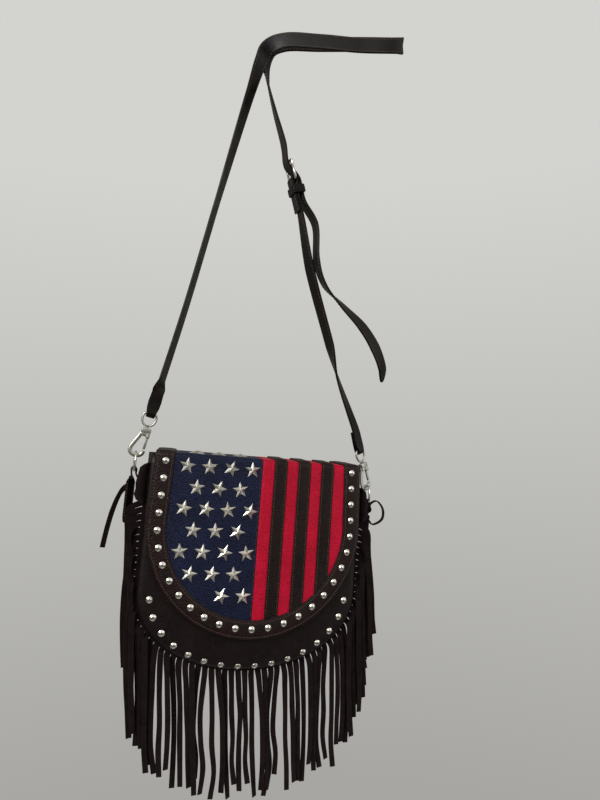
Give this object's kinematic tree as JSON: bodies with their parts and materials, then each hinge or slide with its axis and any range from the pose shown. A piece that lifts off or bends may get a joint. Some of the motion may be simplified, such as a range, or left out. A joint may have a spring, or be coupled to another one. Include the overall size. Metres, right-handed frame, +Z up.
{
  "type": "fringed suede bag",
  "caption": "Shoulder saddle bag with a round studded flap of stars and stripes, a suede fringe round its edge and a buckled strap on snap hooks.",
  "frame": {"origin": "bend of the strap over the first peg, where the bag hangs", "axes": "+Z up, -Y the front of the bag, +X to the right seen from the front"},
  "size_m": [0.3479, 0.0785, 0.8972],
  "materials": {
    "suede": "napped suede",
    "brown_leather": "satin embossed",
    "strap_leather": "satin",
    "blue_leather": "pebbled",
    "red_leather": "pebbled",
    "nickel": "polished nickel plate"
  },
  "bodies": {
    "bag": {"front_panel": "brown_leather", "back_panel": "brown_leather", "gusset": "suede", "fringe_left": "suede", "fringe_bottom": "suede", "fringe_right": "suede", "ring_left": "nickel", "ring_right": "nickel", "ring_tab_left": "brown_leather", "ring_tab_right": "brown_leather", "lace_left": "suede", "lace_right": "suede", "snap_socket": "nickel", "strap_long": "strap_leather", "strap_short": "strap_leather", "keeper": "strap_leather", "buckle_frame": "nickel", "swivel_eye_left": "nickel", "swivel_eye_right": "nickel"},
    "flap_top": {"flap_bridge": "brown_leather"},
    "flap_front": {"flap_backing": "brown_leather", "canton": "blue_leather", "flap_border": "brown_leather", "snap_stud": "nickel", "red_stripe_1": "red_leather", "red_stripe_2": "red_leather", "red_stripe_3": "red_leather", "red_stripe_4": "red_leather", "brown_stripe_1": "brown_leather", "brown_stripe_2": "brown_leather", "brown_stripe_3": "brown_leather", "star_01": "nickel", "star_02": "nickel", "star_03": "nickel", "star_04": "nickel", "star_05": "nickel", "star_06": "nickel", "star_07": "nickel", "star_08": "nickel", "star_09": "nickel", "star_10": "nickel", "star_11": "nickel", "star_12": "nickel", "star_13": "nickel", "star_14": "nickel", "star_15": "nickel", "star_16": "nickel", "star_17": "nickel", "star_18": "nickel", "star_19": "nickel", "star_20": "nickel", "star_21": "nickel", "star_22": "nickel", "star_23": "nickel"},
    "hook_left": {"hook_left": "nickel"},
    "hook_right": {"hook_right": "nickel"},
    "gate_left": {"gate_left": "nickel"},
    "gate_right": {"gate_right": "nickel"},
    "prong": {"buckle_prong": "nickel"}
  },
  "joints": [
    {"name": "flap_top_fold", "type": "hinge", "parent": "bag", "child": "flap_top", "pos_m": [-0.01947, 0.02, -0.51038], "axis": [-0.9943, 0, 0.1063], "range_deg": [0, 28]},
    {"name": "flap_front_fold", "type": "hinge", "parent": "flap_top", "child": "flap_front", "pos_m": [-0.01926, -0.01656, -0.50839], "axis": [-0.9943, 0, 0.1063], "range_deg": [0, 130]},
    {"name": "swivel_left", "type": "hinge", "parent": "bag", "child": "hook_left", "pos_m": [-0.1601, 0, -0.49947], "axis": [0.304, 0, 0.9527], "range_deg": [-25, 25]},
    {"name": "gate_left_swing", "type": "hinge", "parent": "hook_left", "child": "gate_left", "pos_m": [-0.14905, 0, -0.47864], "axis": [0, 1, 0], "range_deg": [0, 22], "stiffness_Nm_per_rad": 0.02, "springref_deg": -11.46},
    {"name": "swivel_right", "type": "hinge", "parent": "bag", "child": "hook_right", "pos_m": [0.12176, 0, -0.5487], "axis": [-0.2351, 0, 0.972], "range_deg": [-25, 25]},
    {"name": "gate_right_swing", "type": "hinge", "parent": "hook_right", "child": "gate_right", "pos_m": [0.11989, 0.00201, -0.52528], "axis": [-0.466, 0.8776, -0.1127], "range_deg": [0, 22], "stiffness_Nm_per_rad": 0.02, "springref_deg": -11.46},
    {"name": "prong_lift", "type": "hinge", "parent": "bag", "child": "prong", "pos_m": [0.0225, 0, -0.17], "axis": [0, 1, 0], "range_deg": [0, 15]}
  ]
}
